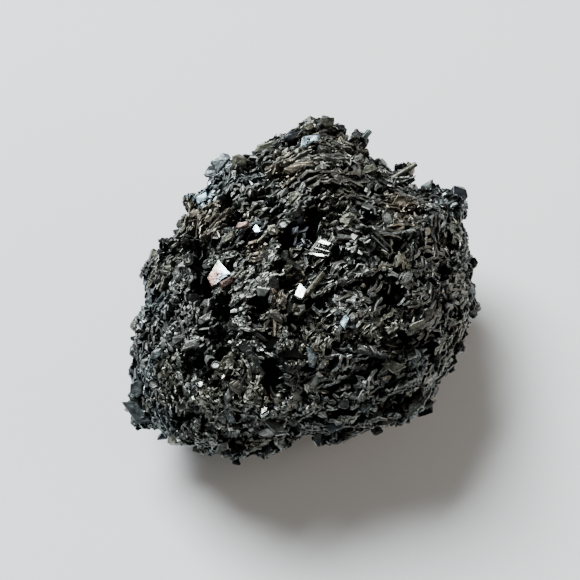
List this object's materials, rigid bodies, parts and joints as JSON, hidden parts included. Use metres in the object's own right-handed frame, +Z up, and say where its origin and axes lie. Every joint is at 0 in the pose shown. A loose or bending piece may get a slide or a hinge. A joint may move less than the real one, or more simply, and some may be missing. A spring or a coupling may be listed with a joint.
{
  "type": "silicon carbide crystal cluster",
  "caption": "Rounded lump of dark intergrown hexagonal plate crystals with a layered crest, a spur and a small broken foot to rest on.",
  "frame": {"origin": "centre of the footprint box, on the plane that the foot rests on", "axes": "+Z up from the foot, +X to the right and +Y to the back, with the crest at the back and the spur at the front left"},
  "size_m": [0.0456, 0.0468, 0.0325],
  "materials": {
    "silicon_carbide": "near-black glassy crystal faces with grey, bronze and steel-blue glints"
  },
  "bodies": {
    "root": {"crystal_cluster": "silicon_carbide"}
  },
  "joints": []
}
